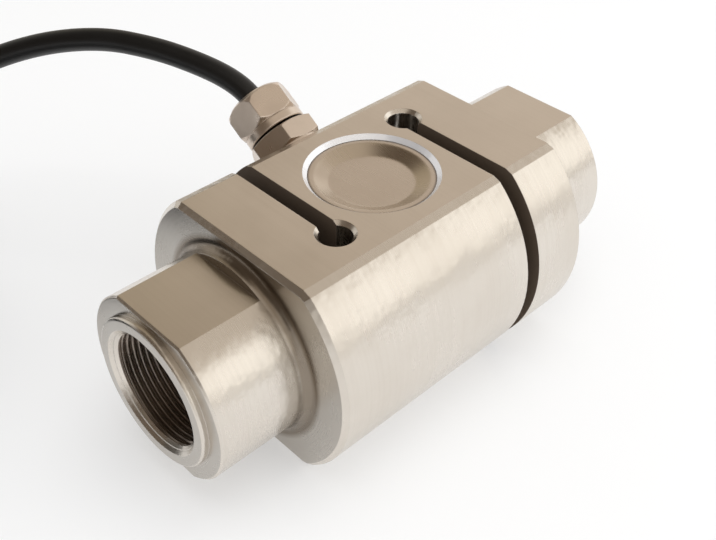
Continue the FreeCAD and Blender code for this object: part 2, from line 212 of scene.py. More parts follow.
def layerHeight(layer):
    return cable["tieThickness"] + cable["diameter"] * (layer + 0.5)


def coilPoints():  # wound inwards and outwards by layers, from the top down
    perTurn = cable["pointsPerTurn"]
    step = 360 / perTurn
    outset = 4 / (3 + math.cos(2 * math.pi / perTurn))  # the spline cuts inside its points
    outer = cable["turnRadius"]
    inner = outer - cable["turnsPerLayer"] * cable["turnPitch"]
    points = []
    angle = cable["startAngle"]
    for layer in range(cable["layers"]):
        low = layerHeight(cable["layers"] - 1 - layer)
        start, end = (outer, inner) if layer % 2 == 0 else (inner, outer)
        count = cable["turnsPerLayer"] * perTurn - (layer == cable["layers"] - 1)
        for i in range(count):
            points.append(onCoil(angle, (start + (end - start) * i / count) * outset, low))
            angle += step
        if layer < cable["layers"] - 1:
            for i in range(perTurn // 4):
                share = i / (perTurn / 4)
                points.append(onCoil(angle, end * outset, low - cable["diameter"] * share))
                angle += step
    points.append(onCoil(angle, outer, layerHeight(0)))
    return points, angle


def addSpline(name, points, thickness, steps=10, sides=7):
    deselectAll()
    bpy.ops.curve.primitive_nurbs_path_add(location=(0, 0, 0))
    line = bpy.context.object
    line.name = name
    line.data.splines.clear()
    spline = line.data.splines.new("NURBS")
    spline.points.add(len(points) - 1)
    for slot, point in zip(spline.points, points):
        slot.co = (*point, 1)
        slot.radius = thickness / 2  # kept on the points, so that the curve's box is the tube's own
    spline.order_u = 3
    spline.use_endpoint_u = True
    line.data.dimensions = "3D"
    line.data.resolution_u = steps
    line.data.bevel_depth = 1
    line.data.bevel_resolution = sides
    line.data.use_fill_caps = True
    return line


turns, endAngle = coilPoints()
cableEnd = turns[-1]
endHeading = coilHeading(endAngle)
leadIn = turns[0] - coilHeading(cable["startAngle"]) * cable["leadInRun"]
jacketPoints = cableRoute + [leadIn] + turns + [cableEnd + endHeading * cable["intoSleeve"]]
jacket = addSpline("cableJacket", jacketPoints, cable["diameter"])
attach(jacket, "root")
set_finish(jacket, "cable_jacket")
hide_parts("cable_run", "cable_coil")
print("cable laid:", len(jacketPoints), "points")

strap = {
    "width": 0.014,
    "thickness": 0.001,
    "corner": 0.0035,
    "cornerSteps": 8,
    "angles": (150, 262),
    "overlap": 0.015,
    "overlapAt": 0.15,
    "lapCorner": 0.0035,
    "lapSteps": 6,
    "edge": 0.0002,
    "edgeSteps": 2,
    "edgeAngle": 50,
    "smoothAngle": 40,
}
bundle = {
    "outer": cable["turnRadius"] + cable["diameter"] / 2,
    "inner": cable["turnRadius"] - cable["turnsPerLayer"] * cable["turnPitch"] - cable["diameter"] / 2,
    "tall": cable["layers"] * cable["diameter"],
}


def softenEdges(piece):
    applyModifier(
        piece,
        "BEVEL",
        "softEdges",
        width=strap["edge"],
        segments=strap["edgeSteps"],
        angle_limit=math.radians(strap["edgeAngle"]),
    )


def makeStrap(name):  # a hook and loop strap round the bundle, its end lapped on top
    across = bundle["outer"] - bundle["inner"]
    thick = strap["thickness"]
    loop = addShape("cube", name, size=1)
    loop.scale = (across + 2 * thick, strap["width"], bundle["tall"] + 2 * thick)
    bpy.ops.object.transform_apply(location=False, rotation=False, scale=True)
    selectWhere(loop, lambda a, b: abs(a.y - b.y) > strap["width"] / 2, "edges")
    bpy.ops.mesh.bevel(offset=strap["corner"], segments=strap["cornerSteps"])
    selectWhere(loop, lambda middle, normal: abs(normal.y) > 0.9)
    bpy.ops.mesh.delete(type="ONLY_FACE")
    bpy.ops.object.mode_set(mode="OBJECT")
    applyModifier(loop, "SOLIDIFY", "strapThickness", thickness=thick, offset=-1)
    softenEdges(loop)

    lap = addShape("cube", name + "Lap", size=1)
    lap.scale = (strap["overlap"], strap["width"], thick)
    lap.location = (across * strap["overlapAt"], 0, bundle["tall"] / 2 + 1.5 * thick)
    bpy.ops.object.transform_apply(location=True, rotation=False, scale=True)
    selectWhere(lap, lambda a, b: abs(a.z - b.z) > thick / 2 and a.x > 0, "edges")  # the free end
    bpy.ops.mesh.bevel(offset=strap["lapCorner"], segments=strap["lapSteps"])
    bpy.ops.object.mode_set(mode="OBJECT")
    softenEdges(lap)
    takeHold(loop)
    lap.select_set(True)
    bpy.ops.object.join()
    return loop


def layStrap(loop, angle, node):
    middle = (bundle["inner"] + bundle["outer"]) / 2
    loop.rotation_euler = (0, 0, math.radians(angle))
    loop.location = onCoil(angle, middle, strap["thickness"] + bundle["tall"] / 2)
    settle(loop, "tie_strap", strap["smoothAngle"])
    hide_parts(node)


sleeve = {
    # distance from the jacket's end, and radius: snug on the jacket, then drawn in over the leads
    "stations": (
        (0.0, 0.00312),
        (0.0001, 0.00335),
        (0.0005, 0.0035),
        (0.0089, 0.0035),
        (0.0096, 0.00342),
        (0.0108, 0.00322),
        (0.0172, 0.00318),
        (0.0178, 0.0031),
        (0.018, 0.0028),
    ),
    "length": 0.018,
    "smoothAngle": 50,
}
bareLeads = {
    "colours": ("red", "black", "green", "white", "drain"),
    "diameter": 0.0011,
    "length": 0.042,
    "spacing": 0.0013,
    "spread": 0.0026,
    "inSleeve": 0.001,
    "smoothAngle": 50,
}
strands = {
    "length": 0.006,
    "sides": 14,
    # distance from the cut in the insulation, and radius
    "stations": (
        (-0.0006, 0.00036),
        (0.0001, 0.00036),
        (0.0033, 0.0003816),
        (0.00558, 0.00036),
        (0.006, 0.00018),
    ),
}


def addSleeve():
    tube = addTurned("endSleeve", sleeve["stations"])
    pointAlong(tube, cableEnd, endHeading)
    settle(tube, "shrink_sleeve", sleeve["smoothAngle"])
    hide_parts("cable_end_sleeve")
    return tube


def addBareLead(index, colour, bareEnd):  # a lead that droops to the floor and fans out
    across = index - (len(bareLeads["colours"]) - 1) / 2
    side = Vector((endHeading.y, -endHeading.x, 0))
    spread = side * bareLeads["spread"] * across
    run = endHeading * bareLeads["length"]
    start = cableEnd + endHeading * sleeve["length"] + side * bareLeads["spacing"] * across
    drop = Vector((0, 0, bareLeads["diameter"] / 2 - start.z))
    land = start + run * 3 / 5 + spread + drop
    tip = land + run * 2 / 5 + spread / 2
    onward = (tip - land).normalized()
    cut = tip - onward * strands["length"]
    allBare = colour == "drain"
    points = [start - endHeading * bareLeads["inSleeve"], start + run / 4, land, tip if allBare else cut]
    lead = addSpline("lead" + colour.capitalize(), points, bareLeads["diameter"], 14, 5)
    takeHold(lead)
    bpy.ops.object.convert(target="MESH")
    settle(lead, "tinned_copper" if allBare else "lead_" + colour, bareLeads["smoothAngle"])
    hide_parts("end_lead_" + colour)
    if allBare:
        return [lead]
    end = copyShape(bareEnd, "strands" + colour.capitalize())
    pointAlong(end, cut, onward)
    settle(end, "tinned_copper", bareLeads["smoothAngle"])
    return [lead, end]


firstStrap = makeStrap("tieStrap1")
straps = [firstStrap, copyShape(firstStrap, "tieStrap2")]
for loop, angle, node in zip(straps, strap["angles"], ("coil_tie_1", "coil_tie_2")):
    layStrap(loop, angle, node)
onCord = [*straps, addSleeve()]
bareEnd = addTurned("bareEnd", strands["stations"], strands["sides"])
for index, colour in enumerate(bareLeads["colours"]):
    onCord += addBareLead(index, colour, bareEnd)
bpy.data.objects.remove(bareEnd)
print("cord declared with", len(onCord), "pieces on it")


# shared effects for the finishes
def addNode(tree, kind, **values):
    node = tree.nodes.new(kind)
    for key, value in values.items():
        if hasattr(node, key):
            setattr(node, key, value)
        else:
            node.inputs[key].default_value = value
    return node


def joinNodes(tree, *pairs):
    for source, target in pairs:
        tree.links.new(source, target)


def newGroup(name, inputs, outputs):
    group = bpy.data.node_groups.new(name, "ShaderNodeTree")
    for label, kind, value in inputs:
        socket = group.interface.new_socket(label, in_out="INPUT", socket_type=kind)
        if value is not None:
            socket.default_value = value
    for label, kind in outputs:
        group.interface.new_socket(label, in_out="OUTPUT", socket_type=kind)
    return group, group.nodes.new("NodeGroupInput"), group.nodes.new("NodeGroupOutput")


def placeGroup(tree, group, **values):
    node = tree.nodes.new("ShaderNodeGroup")
    node.node_tree = group
    for key, value in values.items():
        node.inputs[key].default_value = value
    return node


def makeCutterLines():  # the fine lines that a cutter or a grinding belt leaves
    group, given, made = newGroup(
        "cutterLines",
        [("Position", "NodeSocketVector", None), ("Stretch", "NodeSocketVector", (1500, 30, 30))],
        [("Lines", "NodeSocketFloat")],
    )
    scaled = addNode(group, "ShaderNodeVectorMath", operation="MULTIPLY")
    noise = addNode(group, "ShaderNodeTexNoise", Scale=1, Detail=3, Roughness=0.6)
    joinNodes(
        group,
        (given.outputs["Position"], scaled.inputs[0]),
        (given.outputs["Stretch"], scaled.inputs[1]),
        (scaled.outputs[0], noise.inputs["Vector"]),
        (noise.outputs["Fac"], made.inputs["Lines"]),
    )
    return group


def makeCloudyTone():  # slow changes of tone, with fine specks in them
    group, given, made = newGroup(
        "cloudyTone",
        [
            ("Position", "NodeSocketVector", None),
            ("Size", "NodeSocketFloat", 60),
            ("Specks", "NodeSocketFloat", 900),
        ],
        [("Tone", "NodeSocketFloat"), ("Speck", "NodeSocketFloat")],
    )
    slow = addNode(group, "ShaderNodeTexNoise", Detail=4, Roughness=0.55)
    fine = addNode(group, "ShaderNodeTexNoise", Detail=2, Roughness=0.5)
    joinNodes(
        group,
        (given.outputs["Position"], slow.inputs["Vector"]),
        (given.outputs["Size"], slow.inputs["Scale"]),
        (given.outputs["Position"], fine.inputs["Vector"]),
        (given.outputs["Specks"], fine.inputs["Scale"]),
        (slow.outputs["Fac"], made.inputs["Tone"]),
        (fine.outputs["Fac"], made.inputs["Speck"]),
    )
    return group


def makeRoundedEdges():  # a mask of the sharp edges, and the normal that rounds them
    group, given, made = newGroup(
        "roundedEdges",
        [("Radius", "NodeSocketFloat", 0.0003)],
        [("Mask", "NodeSocketFloat"), ("Normal", "NodeSocketVector")],
    )
    rounded = addNode(group, "ShaderNodeBevel", samples=4)
    surface = addNode(group, "ShaderNodeNewGeometry")
    dot = addNode(group, "ShaderNodeVectorMath", operation="DOT_PRODUCT")
    mask = addNode(group, "ShaderNodeMapRange")
    mask.inputs["From Min"].default_value = 0.995
    mask.inputs["From Max"].default_value = 0.8
    joinNodes(
        group,
        (given.outputs["Radius"], rounded.inputs["Radius"]),
        (rounded.outputs["Normal"], dot.inputs[0]),
        (surface.outputs["Normal"], dot.inputs[1]),
        (dot.outputs["Value"], mask.inputs["Value"]),
        (mask.outputs["Result"], made.inputs["Mask"]),
        (rounded.outputs["Normal"], made.inputs["Normal"]),
    )
    return group


cutterLines = makeCutterLines()
cloudyTone = makeCloudyTone()
roundedEdges = makeRoundedEdges()


def newMaterial(name):
    material = bpy.data.materials.new(name)
    material.use_nodes = True
    return material, material.node_tree, material.node_tree.nodes["Principled BSDF"]


def feed(tree, socket, value):  # sets a number or a colour, and links anything else
    if isinstance(value, tuple):
        socket.default_value = (*value, 1)
    elif isinstance(value, (int, float)):
        socket.default_value = value
    elif value is not None:
        tree.links.new(value, socket)


def mathNode(tree, operation, first, second=None, third=None, clamp=False):
    node = addNode(tree, "ShaderNodeMath", operation=operation, use_clamp=clamp)
    for socket, value in zip(node.inputs, (first, second, third)):
        feed(tree, socket, value)
    return node.outputs[0]


def rampMask(tree, value, low, high):  # 0 at low and 1 at high, whichever is larger
    node = addNode(tree, "ShaderNodeMapRange")
    for label, given in (("Value", value), ("From Min", low), ("From Max", high)):
        feed(tree, node.inputs[label], given)
    return node.outputs["Result"]


def mixColour(tree, mask, first, second):
    node = addNode(tree, "ShaderNodeMix", data_type="RGBA")
    for slot, value in ((0, mask), (6, first), (7, second)):
        feed(tree, node.inputs[slot], value)
    return node.outputs[2]


def mixValue(tree, mask, first, second):
    node = addNode(tree, "ShaderNodeMix", data_type="FLOAT")
    for slot, value in ((0, mask), (2, first), (3, second)):
        feed(tree, node.inputs[slot], value)
    return node.outputs[0]


def overlap(tree, first, *others):  # where all of the masks meet
    for mask in others:
        first = mathNode(tree, "MULTIPLY", first, mask)
    return first


def tint(tree, base, mask, share, colour):  # lays a share of a colour over the base where the mask is
    return mixColour(tree, mathNode(tree, "MULTIPLY", mask, share), base, colour)


def distance(tree, first, second):
    squares = [mathNode(tree, "POWER", value, 2) for value in (first, second)]
    return mathNode(tree, "SQRT", mathNode(tree, "ADD", *squares))


def placeOnPiece(tree):
    return addNode(tree, "ShaderNodeTexCoord").outputs["Object"]


def splitAxes(tree, vector):
    split = addNode(tree, "ShaderNodeSeparateXYZ")
    tree.links.new(vector, split.inputs[0])
    return split.outputs


def addRelief(tree, shader, height, strength, depth, normal=None):
    bump = addNode(tree, "ShaderNodeBump", Strength=strength, Distance=depth)
    feed(tree, bump.inputs["Normal"], normal)
    joinNodes(tree, (height, bump.inputs["Height"]), (bump.outputs[0], shader.inputs["Normal"]))


# plated steel of the body
plate = {
    "flatReflectionTan": (0.66, 0.585, 0.485),
    "turned": (0.74, 0.69, 0.625),
    "shade": (0.52, 0.45, 0.37),
    "polishedAndHighlight": (0.86, 0.86, 0.88),
    "endFaceShade": (0.52, 0.49, 0.45),
    "paintedRootShade": (0.22, 0.178, 0.135),
    "paintedSlotShade": (0.15, 0.11, 0.078),
    "paintedBoreShade": (0.40, 0.34, 0.29),
    "cloudShare": 0.16,
    "lineShare": 0.10,
    "rootShadeShare": 0.9,
    "roughness": 0.27,
    "turnedRoughness": 0.21,
    "ringRoughness": 0.22,
    "slotRoughness": 0.75,
    "edgeHighlight": 0.12,
    "edgeRadius": 0.00028,
    "waveDepth": 0.0009,
    "lineDepth": 0.00002,
}
# where each finish lies on the body, as distances from its axis or its middle
bodyPlan = {
    "axisHeight": 0.0275,
    "slotPlace": 0.0222,
    "slotHalf": 0.00222,
    "slotReach": 0.0115,
    "boreRadius": 0.0153,
    "boreStart": 0.03,
    "mouthDepth": 0.0665,
    "rootStart": 0.0419,
    "rootEnd": 0.0445,
    "rootRadius": 0.0262,
    "ringInner": 0.01555,
    "ringOuter": 0.01672,
    "ringHeight": 0.0262,
}


def slotMask(tree, x, y, aside):
    fromSlot = mathNode(tree, "ABSOLUTE", mathNode(tree, "SUBTRACT", aside, bodyPlan["slotPlace"]))
    crossing = mathNode(tree, "MULTIPLY", mathNode(tree, "SIGN", x), y)  # the slots enter from opposite sides
    return overlap(
        tree,
        rampMask(tree, fromSlot, bodyPlan["slotHalf"] + 0.00003, bodyPlan["slotHalf"]),
        rampMask(tree, crossing, bodyPlan["slotReach"] + 0.0001, bodyPlan["slotReach"]),
    )


# the mask for the painted shade inside each bore
def boreShadeMask(tree, fromAxis, aside):
    return overlap(
        tree,
        rampMask(tree, fromAxis, bodyPlan["boreRadius"], bodyPlan["boreRadius"] - 0.0002),
        rampMask(tree, aside, bodyPlan["boreStart"], bodyPlan["boreStart"] + 0.001),
        rampMask(tree, aside, bodyPlan["mouthDepth"] + 0.0001, bodyPlan["mouthDepth"]),
    )


# the mask for the painted shade in the fillet where an end meets the body
def rootShadeMask(tree, fromAxis, aside):  # the fillet where an end meets the body
    return overlap(
        tree,
        rampMask(tree, aside, bodyPlan["rootStart"] - 0.0002, bodyPlan["rootStart"]),
        rampMask(tree, aside, bodyPlan["rootEnd"] + 0.0009, bodyPlan["rootEnd"] - 0.0009),
        rampMask(tree, fromAxis, bodyPlan["rootRadius"] + 0.0012, bodyPlan["rootRadius"] - 0.0004),
    )


def ringMask(tree, fromMiddle, upright):  # the bright turned ring round each cover
    return overlap(
        tree,
        rampMask(tree, fromMiddle, bodyPlan["ringInner"], bodyPlan["ringInner"] + 0.00003),
        rampMask(tree, fromMiddle, bodyPlan["ringOuter"], bodyPlan["ringOuter"] - 0.00003),
        rampMask(tree, upright, bodyPlan["ringHeight"], bodyPlan["ringHeight"] + 0.0002),
    )


def makePlatedSteel():
    material, tree, shader = newMaterial("platedSteel")
    place = placeOnPiece(tree)
    x, y, z = splitAxes(tree, place)
    surface = addNode(tree, "ShaderNodeNewGeometry")
    facing = splitAxes(tree, surface.outputs["True Normal"])
    aside = mathNode(tree, "ABSOLUTE", x)
    upright = mathNode(tree, "ABSOLUTE", mathNode(tree, "SUBTRACT", z, bodyPlan["axisHeight"]))
    fromAxis = distance(tree, y, upright)
    fromMiddle = distance(tree, x, y)
    isFlat = rampMask(tree, mathNode(tree, "ABSOLUTE", facing[2]), 0.985, 0.995)
    isEnd = rampMask(tree, mathNode(tree, "ABSOLUTE", facing[0]), 0.9, 0.95)
    isRound = mathNode(tree, "SUBTRACT", mathNode(tree, "SUBTRACT", 1.0, isFlat), isEnd, clamp=True)

    # lines round the axis and across the flats, and rings on the end faces
    ringPlace = addNode(tree, "ShaderNodeCombineXYZ")
    tree.links.new(fromAxis, ringPlace.inputs[0])
    along = placeGroup(tree, cutterLines, Stretch=(1300, 22, 22))
    rings = placeGroup(tree, cutterLines, Stretch=(1500, 1, 1))
    joinNodes(tree, (place, along.inputs["Position"]), (ringPlace.outputs[0], rings.inputs["Position"]))
    lines = mixValue(tree, isEnd, along.outputs[0], rings.outputs[0])
    cloud = placeGroup(tree, cloudyTone, Size=45, Specks=1400)
    tree.links.new(place, cloud.inputs["Position"])
    tone = rampMask(tree, cloud.outputs["Tone"], 0.35, 0.68)

    # painted reflection: the flats a darker tan than the turned rounds, for the warm room they mirror
    base = mixColour(tree, isFlat, plate["turned"], plate["flatReflectionTan"])
    # painted shade: the end faces darker, for the shaded floor they mirror
    base = mixColour(tree, isEnd, base, plate["endFaceShade"])
    base = tint(tree, base, tone, plate["cloudShare"], plate["shade"])
    base = tint(tree, base, rampMask(tree, lines, 0.45, 0.75), plate["lineShare"], plate["shade"])
    inRing = ringMask(tree, fromMiddle, upright)
    base = mixColour(tree, inRing, base, plate["polishedAndHighlight"])

    # painted shade: a dark brown in the slots, and a browner tone in the fillets and the bores
    inSlot = slotMask(tree, x, y, aside)
    base = tint(tree, base, rootShadeMask(tree, fromAxis, aside), plate["rootShadeShare"], plate["paintedRootShade"])
    base = mixColour(tree, boreShadeMask(tree, fromAxis, aside), base, plate["paintedBoreShade"])
    base = mixColour(tree, inSlot, base, plate["paintedSlotShade"])
    edges = placeGroup(tree, roundedEdges, Radius=plate["edgeRadius"])
    # painted highlight: the sharp edges tinted lighter
    base = tint(tree, base, edges.outputs["Mask"], plate["edgeHighlight"], plate["polishedAndHighlight"])
    tree.links.new(base, shader.inputs["Base Color"])

    rough = mixValue(tree, isFlat, plate["turnedRoughness"], plate["roughness"])
    rough = mathNode(tree, "MULTIPLY_ADD", tone, 0.06, rough)
    rough = mathNode(tree, "MULTIPLY_ADD", lines, 0.08, rough)
    rough = mixValue(tree, inRing, rough, plate["ringRoughness"])
    rough = mixValue(tree, inSlot, rough, plate["slotRoughness"])
    tree.links.new(rough, shader.inputs["Roughness"])
    metal = mixValue(tree, inSlot, mixValue(tree, inRing, 1.0, 0.45), 0.35)
    tree.links.new(metal, shader.inputs["Metallic"])

    waves = addNode(tree, "ShaderNodeBump", Distance=plate["waveDepth"])  # hand-polished rounds
    joinNodes(
        tree,
        (isRound, waves.inputs["Strength"]),
        (cloud.outputs["Tone"], waves.inputs["Height"]),
        (edges.outputs["Normal"], waves.inputs["Normal"]),
    )
    addRelief(tree, shader, lines, 0.35, plate["lineDepth"], waves.outputs[0])
    return material


cover = {
    "pressed": (0.60, 0.52, 0.425),
    "shade": (0.47, 0.395, 0.30),
    "cloudShare": 0.22,
    "seamTone": (0.17, 0.14, 0.12),
    "seamShare": 0.85,
    "seamStart": 0.0150,
    "seamEnd": 0.0155,
    "roughness": 0.24,
    "edgeRadius": 0.0009,
}


def makeCoverSteel():
    material, tree, shader = newMaterial("coverSteel")
    place = placeOnPiece(tree)
    x, y = splitAxes(tree, place)[:2]
    fromMiddle = distance(tree, x, y)
    lines = placeGroup(tree, cutterLines, Stretch=(900, 40, 40))
    cloud = placeGroup(tree, cloudyTone, Size=90, Specks=1500)
    joinNodes(tree, (place, lines.inputs["Position"]), (place, cloud.inputs["Position"]))
    tone = rampMask(tree, cloud.outputs["Tone"], 0.35, 0.68)
    base = tint(tree, cover["pressed"], tone, cover["cloudShare"], cover["shade"])
    seam = rampMask(tree, fromMiddle, cover["seamStart"], cover["seamEnd"])
    base = tint(tree, base, seam, cover["seamShare"], cover["seamTone"])
    rough = mathNode(tree, "MULTIPLY_ADD", lines.outputs[0], 0.08, cover["roughness"])
    joinNodes(tree, (base, shader.inputs["Base Color"]), (rough, shader.inputs["Roughness"]))
    shader.inputs["Metallic"].default_value = 1
    edges = placeGroup(tree, roundedEdges, Radius=cover["edgeRadius"])
    addRelief(tree, shader, lines.outputs[0], 0.3, plate["lineDepth"], edges.outputs["Normal"])
    return material


gland = {
    "axisAngle": 32.5,
    "seat": 0.0341,
    "gapStart": 0.00625,
    "gapEnd": 0.00695,
    "paintedGapShadow": (0.035, 0.028, 0.022),
    "plating": (0.72, 0.62, 0.53),
    "shade": (0.50, 0.42, 0.35),
    "cloudShare": 0.25,
    "edgeHighlightColour": (0.86, 0.80, 0.74),
    "edgeHighlight": 0.3,
    "edgeRadius": 0.00045,
    "roughness": 0.27,
}


def makePlatedBrass():
    material, tree, shader = newMaterial("platedBrass")
    place = placeOnPiece(tree)
    turn = math.radians(gland["axisAngle"])
    along = addNode(tree, "ShaderNodeVectorMath", operation="DOT_PRODUCT")
    along.inputs[1].default_value = (0, math.cos(turn), math.sin(turn))
    tree.links.new(place, along.inputs[0])
    seat = gland["seat"] + bodyPlan["axisHeight"] * math.sin(turn)
    height = mathNode(tree, "SUBTRACT", along.outputs["Value"], seat)
    # painted shadow in the gap between the cap nut and the body
    inGapShadow = overlap(  # the dark gap between the cap nut and the body
        tree,
        rampMask(tree, height, gland["gapStart"], gland["gapStart"] + 0.00005),
        rampMask(tree, height, gland["gapEnd"], gland["gapEnd"] - 0.00005),
    )
    cloud = placeGroup(tree, cloudyTone, Size=120, Specks=1600)
    lines = placeGroup(tree, cutterLines, Stretch=(60, 700, 700))
    joinNodes(tree, (place, cloud.inputs["Position"]), (place, lines.inputs["Position"]))
    tone = rampMask(tree, cloud.outputs["Tone"], 0.38, 0.66)
    base = tint(tree, gland["plating"], tone, gland["cloudShare"], gland["shade"])
    edges = placeGroup(tree, roundedEdges, Radius=gland["edgeRadius"])
    # painted highlight: the sharp edges of the gland tinted lighter
    base = tint(tree, base, edges.outputs["Mask"], gland["edgeHighlight"], gland["edgeHighlightColour"])
    base = mixColour(tree, inGapShadow, base, gland["paintedGapShadow"])
    rough = mathNode(tree, "MULTIPLY_ADD", tone, 0.10, gland["roughness"])
    joinNodes(tree, (base, shader.inputs["Base Color"]), (rough, shader.inputs["Roughness"]))
    shader.inputs["Metallic"].default_value = 1
    addRelief(tree, shader, lines.outputs[0], 0.25, plate["lineDepth"], edges.outputs["Normal"])
    return material


# rubber, nylon, insulation, solder and other small plain parts
def makeMoulded(name, colour, darker, roughness, metallic=0.0, size=160, grain=2200, depth=0.00003):
    material, tree, shader = newMaterial(name)
    cloud = placeGroup(tree, cloudyTone, Size=size, Specks=grain)
    tree.links.new(placeOnPiece(tree), cloud.inputs["Position"])
    speck = cloud.outputs["Speck"]
    tone = rampMask(tree, cloud.outputs["Tone"], 0.35, 0.68)
    base = mixColour(tree, tone, colour, darker)
    rough = mathNode(tree, "MULTIPLY_ADD", speck, 0.16, roughness - 0.08)  # as much above as below
    joinNodes(tree, (base, shader.inputs["Base Color"]), (rough, shader.inputs["Roughness"]))
    shader.inputs["Metallic"].default_value = metallic
    addRelief(tree, shader, speck, 0.3, depth)
    return material


finishes = {
    "plated_steel": makePlatedSteel(),
    "cover_steel": makeCoverSteel(),
    "plated_brass": makePlatedBrass(),
    "gauge_foil": makeMoulded("gaugeFoil", (0.62, 0.30, 0.10), (0.45, 0.20, 0.07), 0.35, size=600),
    "solder_board": makeMoulded("solderBoard", (0.10, 0.30, 0.13), (0.07, 0.22, 0.10), 0.4, size=500),
    "seal_rubber": makeMoulded("sealRubber", (0.020, 0.020, 0.022), (0.012, 0.012, 0.013), 0.6),
    "claw_nylon": makeMoulded("clawNylon", (0.55, 0.53, 0.48), (0.46, 0.44, 0.40), 0.5),
    "cable_jacket": makeMoulded(
        "cableJacket", (0.0040, 0.0041, 0.0044), (0.0025, 0.0026, 0.0028), 0.40, size=70, grain=1500
    ),
    "tie_strap": makeMoulded(
        "tieStrap", (0.018, 0.018, 0.020), (0.010, 0.010, 0.011), 0.75, grain=1200, depth=0.0001
    ),
    "shrink_sleeve": makeMoulded("shrinkSleeve", (0.015, 0.015, 0.016), (0.010, 0.010, 0.011), 0.42),
    "lead_red": makeMoulded("leadRed", (0.55, 0.03, 0.025), (0.42, 0.02, 0.018), 0.4),
    "lead_black": makeMoulded("leadBlack", (0.02, 0.02, 0.02), (0.012, 0.012, 0.012), 0.4),
    "lead_green": makeMoulded("leadGreen", (0.03, 0.30, 0.08), (0.02, 0.22, 0.06), 0.4),
    "lead_white": makeMoulded("leadWhite", (0.72, 0.72, 0.70), (0.62, 0.62, 0.60), 0.4),
    "tinned_copper": makeMoulded(
        "tinnedCopper", (0.72, 0.68, 0.64), (0.60, 0.54, 0.48), 0.3, metallic=1.0
    ),
}


def paint(piece, slotName):
    piece.data.materials.clear()
    piece.data.materials.append(finishes[slotName])


for entry in frame["record"]["subparts"]:
    paint(nodes[entry["node"]], entry["material_slot"])
for piece in [jacket, *onCord]:
    paint(piece, piece["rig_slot"])
print("finishes made:", len(finishes))


# threads in the two bores
thread = {
    "rootRadius": 0.01503,
    "crestRadius": 0.0143,
    "pitch": 0.0015,
    "rootWidth": 0.0013,
    "crestWidth": 0.0003,
    "turns": 17,
    "mouth": 0.0682,
    "firstTurn": 0.0018,
    "stepsPerTurn": 72,
    # depth and radius of the cone that leads into the thread, and of its step back to the wall
    "leadIn": ((0.00086, 0.01503), (0.0017, 0.0142), (0.00185, 0.0142), (0.0025, 0.01503)),
    "mouthRadius": 0.0159,
    "mouthCone": 0.0024,
    "smoothAngle": 25,
}


def windProfile(name, corners, turns, offset):  # winds a four-cornered profile round the X axis
    ridge = addShape("plane", name, size=1, location=(0, 0, 0))
    bpy.ops.object.mode_set(mode="EDIT")
    bpy.ops.mesh.delete(type="ONLY_FACE")
    bpy.ops.object.mode_set(mode="OBJECT")
    for index, (along, radius) in zip((0, 1, 3, 2), corners):
        ridge.data.vertices[index].co = (along, 0, radius)
    steps = math.ceil(thread["stepsPerTurn"] * turns)
    applyModifier(
        ridge,
        "SCREW",
        "winding",
        axis="X",
        angle=math.tau * turns,
        steps=steps,
        render_steps=steps,
        screw_offset=offset * turns,
        use_merge_vertices=offset == 0,
    )
    bpy.ops.object.mode_set(mode="EDIT")
    bpy.ops.mesh.select_all(action="SELECT")
    bpy.ops.mesh.remove_doubles(threshold=0.000001)
    if offset:  # an open coil has two ends to close
        bpy.ops.mesh.select_all(action="DESELECT")
        bpy.ops.mesh.select_non_manifold()
        bpy.ops.mesh.fill()
    bpy.ops.mesh.select_all(action="SELECT")
    bpy.ops.mesh.normals_make_consistent(inside=False)
    bpy.ops.object.mode_set(mode="OBJECT")
    return ridge


def makeThread(name):  # a ridge wound into the near bore, with the cone that leads into it
    half = thread["rootWidth"] / 2
    tip = thread["crestWidth"] / 2
    mouth = -thread["mouth"]
    axisHeight = bodyPlan["axisHeight"]
    corners = [
        (-half, thread["rootRadius"]),
        (half, thread["rootRadius"]),
        (tip, thread["crestRadius"]),
        (-tip, thread["crestRadius"]),
    ]
    ridge = windProfile(name, corners, thread["turns"], thread["pitch"])
    ridge.location = (mouth + thread["firstTurn"], 0, axisHeight)
    bpy.ops.object.transform_apply(location=True, rotation=True, scale=True)

    # the mouth's countersink takes the tops off the first turn
    cutter = addShape(
        "cone",
        name + "Countersink",
        vertices=96,
        radius1=thread["mouthRadius"],
        radius2=thread["mouthRadius"] - thread["mouthCone"],
        depth=thread["mouthCone"],
        location=(mouth + thread["mouthCone"] / 2, 0, axisHeight),
        rotation=(0, math.pi / 2, 0),
    )
    applyModifier(ridge, "BOOLEAN", "countersink", operation="DIFFERENCE", object=cutter, solver="EXACT")
    bpy.data.objects.remove(cutter)
    wall, lip, step, back = thread["leadIn"]
    cone = windProfile(name + "Mouth", [wall, back, step, lip], 1, 0)
    cone.location = (mouth, 0, axisHeight)
    bpy.ops.object.transform_apply(location=True, rotation=True, scale=True)
    takeHold(ridge)
    cone.select_set(True)
    bpy.ops.object.join()
    paint(ridge, "plated_steel")
    return ridge


nearThread = makeThread("nearThread")
farThread = copyShape(nearThread, "farThread")
farThread.rotation_euler = (0, 0, math.pi)
for ridge in (nearThread, farThread):
    settle(ridge, "plated_steel", thread["smoothAngle"])
print("threads cut")


# studio
studio = {
    "floorColour": (0.90, 0.90, 0.90, 1),
    "floorSize": 6,
    "floorDrop": 0.0002,
    "floorGlow": 0.42,
    "floorRoughness": 0.7,
    "air": 0.62,
}
tent = {"radius": 2.5, "base": (0.80, 0.77, 0.72)}

